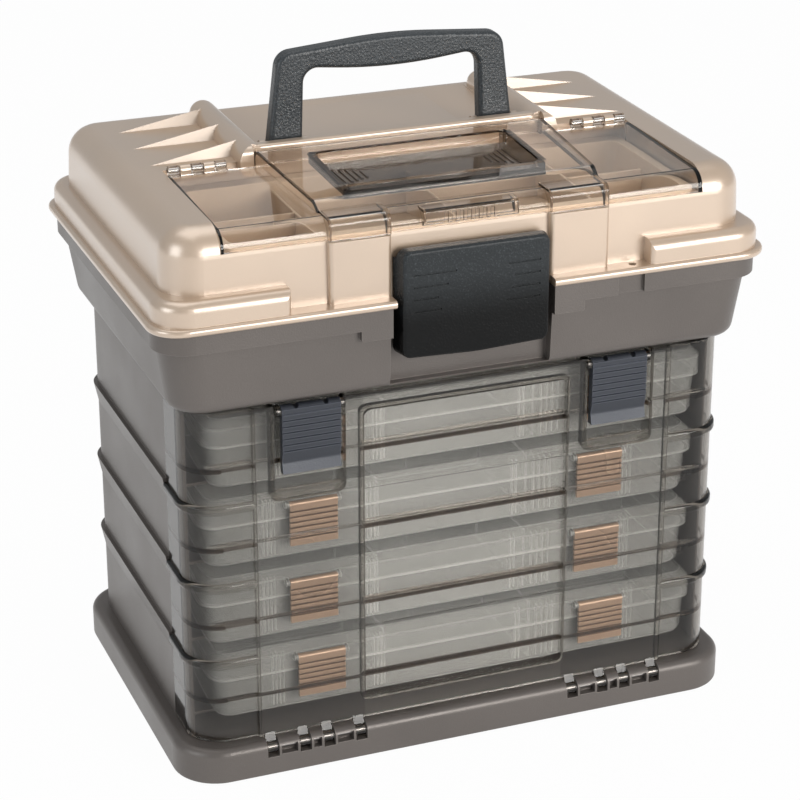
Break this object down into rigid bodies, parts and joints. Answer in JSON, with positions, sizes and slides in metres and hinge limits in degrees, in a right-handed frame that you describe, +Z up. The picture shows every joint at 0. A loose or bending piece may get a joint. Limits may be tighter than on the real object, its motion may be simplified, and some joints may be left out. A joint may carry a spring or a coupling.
{
  "type": "fishing tackle cabinet",
  "caption": "Portable tackle cabinet with a fold-down clear door over sliding utility boxes, a deep top tub, a latched lid with a bait tray under a clear cover, and a carry handle",
  "frame": {"origin": "on the floor, below the middle of the lid's rim, which is the bottom centre of the bounding box", "axes": "+X to the right seen from the front, +Y to the back, +Z up; the door and the latches face -Y"},
  "size_m": [0.438, 0.292, 0.4709],
  "materials": {
    "pewter_body": "pewter grey-brown polypropylene with a fine moulded grain and slight metallic sheen",
    "champagne_lid": "champagne-tan metallic polypropylene, semi-matt",
    "smoked_clear": "smoked clear polycarbonate, glossy",
    "charcoal_handle": "charcoal grained plastic",
    "black_latch": "black plastic, finely grained, semi-gloss",
    "slate_latch": "slate grey plastic, satin",
    "copper_latch": "copper-tan metallic plastic, satin",
    "frosted_box": "frosted translucent polypropylene",
    "tan_tray": "tan polypropylene, semi-matt",
    "steel_pin": "drawn steel wire pins"
  },
  "bodies": {
    "cabinet": {"base_tray": "pewter_body", "cabinet_shell": "pewter_body", "box_runners": "pewter_body", "top_tub": "pewter_body", "door_hinge_pins": "steel_pin", "lid_hinge_pins": "steel_pin"},
    "lid": {"lid_shell": "champagne_lid", "bait_tray": "tan_tray", "bait_tray_dividers": "tan_tray", "top_cover_pins": "steel_pin", "handle_pins": "steel_pin"},
    "cover": {"top_cover": "smoked_clear"},
    "handle": {"carry_handle": "charcoal_handle"},
    "latch": {"front_latch": "black_latch", "front_latch_pin": "steel_pin"},
    "door": {"front_door": "smoked_clear", "door_latch_pins": "steel_pin"},
    "door_left_latch": {"door_latch_left": "slate_latch"},
    "door_right_latch": {"door_latch_right": "slate_latch"},
    "box_1": {"box_1_base": "frosted_box", "box_1_lid": "frosted_box", "box_1_dividers": "frosted_box", "box_1_hinge_pins": "steel_pin", "box_1_latch_pins": "steel_pin"},
    "box_1_left_latch": {"box_1_latch_left": "copper_latch"},
    "box_1_right_latch": {"box_1_latch_right": "copper_latch"},
    "box_2": {"box_2_base": "frosted_box", "box_2_lid": "frosted_box", "box_2_dividers": "frosted_box", "box_2_hinge_pins": "steel_pin", "box_2_latch_pins": "steel_pin"},
    "box_2_left_latch": {"box_2_latch_left": "copper_latch"},
    "box_2_right_latch": {"box_2_latch_right": "copper_latch"},
    "box_3": {"box_3_base": "frosted_box", "box_3_lid": "frosted_box", "box_3_dividers": "frosted_box", "box_3_hinge_pins": "steel_pin", "box_3_latch_pins": "steel_pin"},
    "box_3_left_latch": {"box_3_latch_left": "copper_latch"},
    "box_3_right_latch": {"box_3_latch_right": "copper_latch"},
    "box_4": {"box_4_base": "frosted_box", "box_4_lid": "frosted_box", "box_4_dividers": "frosted_box", "box_4_hinge_pins": "steel_pin", "box_4_latch_pins": "steel_pin"},
    "box_4_left_latch": {"box_4_latch_left": "copper_latch"},
    "box_4_right_latch": {"box_4_latch_right": "copper_latch"}
  },
  "joints": [
    {"name": "lid_hinge", "type": "hinge", "parent": "cabinet", "child": "lid", "pos_m": [0, 0.1415, 0.3334], "axis": [-1, 0, 0], "range_deg": [0, 100]},
    {"name": "cover_hinge", "type": "hinge", "parent": "lid", "child": "cover", "pos_m": [0, -0.0095, 0.399], "axis": [-1, 0, 0], "range_deg": [0, 92]},
    {"name": "handle_hinge", "type": "hinge", "parent": "lid", "child": "handle", "pos_m": [0, 0.015, 0.4005], "axis": [-1, 0, 0], "range_deg": [0, 86]},
    {"name": "front_latch_hinge", "type": "hinge", "parent": "lid", "child": "latch", "pos_m": [0, -0.139, 0.3652], "axis": [-1, 0, 0], "range_deg": [0, 100]},
    {"name": "door_hinge", "type": "hinge", "parent": "cabinet", "child": "door", "pos_m": [0, -0.1335, 0.0195], "axis": [1, 0, 0], "range_deg": [0, 90]},
    {"name": "door_left_latch_hinge", "type": "hinge", "parent": "door", "child": "door_left_latch", "pos_m": [-0.1116, -0.129, 0.267], "axis": [-1, 0, 0], "range_deg": [0, 95]},
    {"name": "door_right_latch_hinge", "type": "hinge", "parent": "door", "child": "door_right_latch", "pos_m": [0.1116, -0.129, 0.267], "axis": [-1, 0, 0], "range_deg": [0, 95]},
    {"name": "box_1_slide", "type": "slide", "parent": "cabinet", "child": "box_1", "axis": [0, -1, 0], "range_m": [0, 0.2]},
    {"name": "box_1_left_latch_hinge", "type": "hinge", "parent": "box_1", "child": "box_1_left_latch", "pos_m": [-0.1005, -0.1128, 0.2489], "axis": [-1, 0, 0], "range_deg": [0, 90]},
    {"name": "box_1_right_latch_hinge", "type": "hinge", "parent": "box_1", "child": "box_1_right_latch", "pos_m": [0.1115, -0.1128, 0.2489], "axis": [-1, 0, 0], "range_deg": [0, 90]},
    {"name": "box_2_slide", "type": "slide", "parent": "cabinet", "child": "box_2", "axis": [0, -1, 0], "range_m": [0, 0.2]},
    {"name": "box_2_left_latch_hinge", "type": "hinge", "parent": "box_2", "child": "box_2_left_latch", "pos_m": [-0.105, -0.1128, 0.1905], "axis": [-1, 0, 0], "range_deg": [0, 90]},
    {"name": "box_2_right_latch_hinge", "type": "hinge", "parent": "box_2", "child": "box_2_right_latch", "pos_m": [0.107, -0.1128, 0.1905], "axis": [-1, 0, 0], "range_deg": [0, 90]},
    {"name": "box_3_slide", "type": "slide", "parent": "cabinet", "child": "box_3", "axis": [0, -1, 0], "range_m": [0, 0.2]},
    {"name": "box_3_left_latch_hinge", "type": "hinge", "parent": "box_3", "child": "box_3_left_latch", "pos_m": [-0.1055, -0.1128, 0.1321], "axis": [-1, 0, 0], "range_deg": [0, 90]},
    {"name": "box_3_right_latch_hinge", "type": "hinge", "parent": "box_3", "child": "box_3_right_latch", "pos_m": [0.1065, -0.1128, 0.1321], "axis": [-1, 0, 0], "range_deg": [0, 90]},
    {"name": "box_4_slide", "type": "slide", "parent": "cabinet", "child": "box_4", "axis": [0, -1, 0], "range_m": [0, 0.2]},
    {"name": "box_4_left_latch_hinge", "type": "hinge", "parent": "box_4", "child": "box_4_left_latch", "pos_m": [-0.1005, -0.1128, 0.0737], "axis": [-1, 0, 0], "range_deg": [0, 90]},
    {"name": "box_4_right_latch_hinge", "type": "hinge", "parent": "box_4", "child": "box_4_right_latch", "pos_m": [0.1115, -0.1128, 0.0737], "axis": [-1, 0, 0], "range_deg": [0, 90]}
  ],
  "couplings": [
    {"joint": "box_1_slide", "follows": "door_hinge", "m_per_rad": 0.12732},
    {"joint": "box_1_left_latch_hinge", "follows": "door_hinge", "ratio": 1},
    {"joint": "box_1_right_latch_hinge", "follows": "door_hinge", "ratio": 1},
    {"joint": "box_2_slide", "follows": "door_hinge", "m_per_rad": 0.09231},
    {"joint": "box_2_left_latch_hinge", "follows": "door_hinge", "ratio": 1},
    {"joint": "box_2_right_latch_hinge", "follows": "door_hinge", "ratio": 1},
    {"joint": "box_3_slide", "follows": "door_hinge", "m_per_rad": 0.0573},
    {"joint": "box_3_left_latch_hinge", "follows": "door_hinge", "ratio": 1},
    {"joint": "box_3_right_latch_hinge", "follows": "door_hinge", "ratio": 1},
    {"joint": "box_4_slide", "follows": "door_hinge", "m_per_rad": 0.00955},
    {"joint": "box_4_left_latch_hinge", "follows": "door_hinge", "ratio": 1},
    {"joint": "box_4_right_latch_hinge", "follows": "door_hinge", "ratio": 1}
  ]
}
